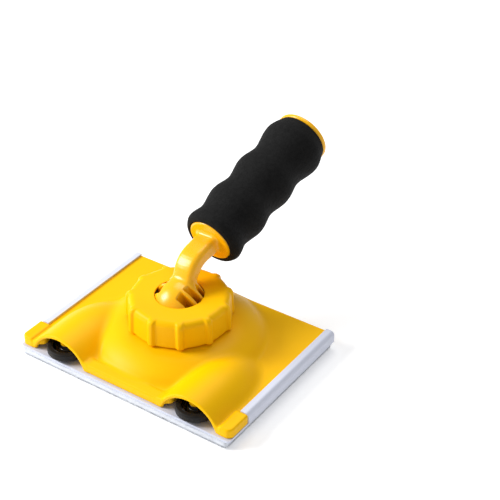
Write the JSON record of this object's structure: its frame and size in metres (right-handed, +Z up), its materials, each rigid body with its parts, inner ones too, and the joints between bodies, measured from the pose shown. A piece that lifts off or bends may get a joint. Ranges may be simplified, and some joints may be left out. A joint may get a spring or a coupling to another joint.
{
  "type": "paint pad edger",
  "caption": "Hand-held paint pad edger: a moulded shell with a slide-on pad, side guide wheels and a foam-gripped handle in a clamped ball joint.",
  "frame": {"origin": "centre of the pad's painting face, on the surface that it lies on", "axes": "+X across the tool to the right wheel, +Y to the rear, towards the grip, +Z up, out of the shell"},
  "size_m": [0.15, 0.1881, 0.1043],
  "materials": {
    "nap": "short dense fibre pile",
    "pad_foam": "fine open-cell foam",
    "white_plastic": "smooth moulded",
    "yellow_plastic": "satin moulded",
    "arm_plastic": "satin moulded",
    "black_plastic": "gloss moulded",
    "black_rubber": "matt",
    "grip_foam": "matt fine-cell foam",
    "seat_plastic": "moulded nylon",
    "steel": "zinc plated"
  },
  "bodies": {
    "base": {"base_shell": "yellow_plastic", "axle_screws": "steel", "axle_washers": "steel"},
    "pad": {"pad_nap": "nap", "pad_foam": "pad_foam", "pad_backing": "white_plastic"},
    "wheel_right": {"wheel_hub_right": "black_plastic", "wheel_tyre_right": "black_rubber"},
    "wheel_left": {"wheel_hub_left": "black_plastic", "wheel_tyre_left": "black_rubber"},
    "ring": {"clamp_ring": "seat_plastic"},
    "collar": {"clamp_collar": "yellow_plastic"},
    "seat": {"ball_seat": "seat_plastic"},
    "handle": {"handle_arm": "arm_plastic", "grip_core": "seat_plastic", "core_pin": "steel", "foam_grip": "grip_foam", "end_cap": "arm_plastic", "pole_socket": "seat_plastic"}
  },
  "joints": [
    {"name": "pad_slide", "type": "slide", "parent": "base", "child": "pad", "axis": [0, 1, 0], "range_m": [0, 0.095]},
    {"name": "right_wheel_spin", "type": "hinge", "parent": "base", "child": "wheel_right", "pos_m": [0.0465, -0.0443, 0.0106], "axis": [0, 0, 1], "continuous": true},
    {"name": "left_wheel_spin", "type": "hinge", "parent": "base", "child": "wheel_left", "pos_m": [-0.0465, -0.0443, 0.0106], "axis": [0, 0, 1], "continuous": true},
    {"name": "collar_turn", "type": "hinge", "parent": "ring", "child": "collar", "pos_m": [0, 0.0035, 0.0308], "axis": [0, 0, 1], "range_deg": [0, 180]},
    {"name": "ring_lift", "type": "slide", "parent": "base", "child": "ring", "axis": [0, 0, 1], "range_m": [0, 0.002]},
    {"name": "handle_swivel", "type": "hinge", "parent": "base", "child": "seat", "pos_m": [0, 0.0035, 0.0311], "axis": [0, 0, 1], "continuous": true},
    {"name": "handle_tilt", "type": "hinge", "parent": "seat", "child": "handle", "pos_m": [0, 0.0035, 0.0311], "axis": [1, 0, 0], "range_deg": [-12, 55]}
  ],
  "couplings": [
    {"joint": "collar_turn", "follows": "ring_lift", "rad_per_m": 1570.8}
  ]
}
